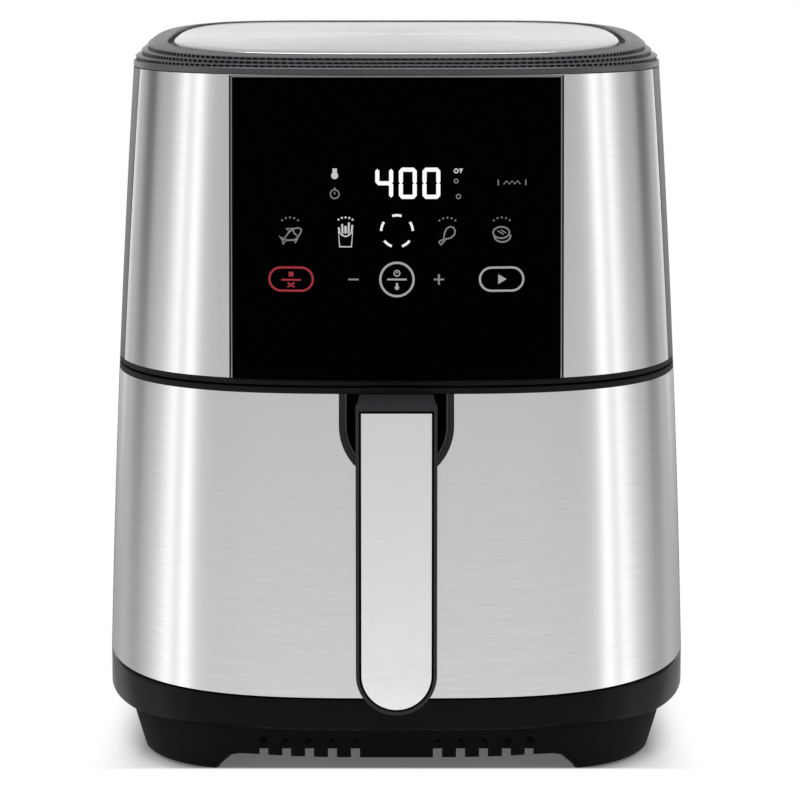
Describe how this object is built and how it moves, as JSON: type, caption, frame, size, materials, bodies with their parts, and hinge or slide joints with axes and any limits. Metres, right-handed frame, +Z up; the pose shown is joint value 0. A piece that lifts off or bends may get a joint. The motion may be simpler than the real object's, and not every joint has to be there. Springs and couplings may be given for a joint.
{
  "type": "air fryer",
  "caption": "Countertop air fryer with a rounded-square body, a pull-out basket drawer with a bar handle, a glass touch panel and a stepped top vent.",
  "frame": {"origin": "on the floor under the middle of the whole object, handle and rear vent included", "axes": "+Z up, -Y towards the user, +X to the right as seen in the axes given"},
  "size_m": [0.2684, 0.3346, 0.3282],
  "materials": {
    "black_gloss": "gloss",
    "black_matt": "matt",
    "board_green": "matt",
    "brushed_stainless": "vertical brushing",
    "brushed_top": "fine brushing",
    "coated_black": "non-stick coating",
    "fan_aluminium": "mill",
    "fuse_ceramic": "matt",
    "grip_dark": "satin gloss",
    "heater_sheath": "oxidised",
    "lamp_white": "matt",
    "motor_steel": "satin",
    "panel_black_glass": "polished, printed symbols",
    "plunger_red": "matt",
    "rubber_black": "matt",
    "satin_grey": "satin",
    "screw_steel": "satin",
    "sensor_steel": "satin",
    "sheet_steel": "mill",
    "silicone": "matt",
    "spring_steel": "satin",
    "trim_bright": "polished"
  },
  "bodies": {
    "housing": {"base_tub": "black_gloss", "bottom_cover": "black_matt", "foot_pads": "rubber_black", "base_screws": "screw_steel", "rear_housing": "black_matt", "rear_vent": "black_matt", "cord_gland": "black_matt", "front_frame": "black_matt", "front_wrap": "brushed_stainless", "panel_trim": "trim_bright", "control_panel": "panel_black_glass", "display_board": "board_green", "display_module": "lamp_white", "touch_springs": "spring_steel", "vent_collar": "satin_grey", "top_frame": "satin_grey", "top_plate": "brushed_top", "chamber_liner": "sheet_steel", "drawer_rails": "spring_steel", "fan_guard": "sheet_steel", "guard_posts": "sheet_steel", "heater_coil": "heater_sheath", "heater_clips": "spring_steel", "heat_shield": "sheet_steel", "motor_bracket": "sheet_steel", "fan_motor": "motor_steel", "motor_screws": "screw_steel", "temperature_sensor": "sensor_steel", "thermal_fuse": "fuse_ceramic", "power_board": "board_green", "exhaust_duct": "sheet_steel", "door_switch": "black_matt"},
    "drawer": {"drawer_shell": "black_matt", "drawer_skin": "brushed_stainless", "recess_bezel": "black_gloss", "handle_grip": "grip_dark", "handle_inlay": "brushed_stainless", "handle_screws": "screw_steel", "basket": "coated_black", "basket_bracket": "sheet_steel"},
    "tray": {"crisper_tray": "coated_black", "tray_bumpers": "silicone"},
    "rotor": {"motor_shaft": "spring_steel", "convection_fan": "fan_aluminium", "cooling_fan": "fan_aluminium", "fan_nut": "screw_steel"},
    "plunger": {"switch_plunger": "plunger_red"}
  },
  "joints": [
    {"name": "drawer_slide", "type": "slide", "parent": "housing", "child": "drawer", "axis": [0, -1, 0], "range_m": [0, 0.2]},
    {"name": "tray_lift", "type": "slide", "parent": "drawer", "child": "tray", "axis": [0, 0, 1], "range_m": [0, 0.1]},
    {"name": "fan_spin", "type": "hinge", "parent": "housing", "child": "rotor", "pos_m": [0, 0.02086, 0.2], "axis": [0, 0, 1], "continuous": true},
    {"name": "switch_press", "type": "slide", "parent": "housing", "child": "plunger", "axis": [0, 1, 0], "range_m": [0, 0.0012], "stiffness_N_per_m": 200}
  ]
}
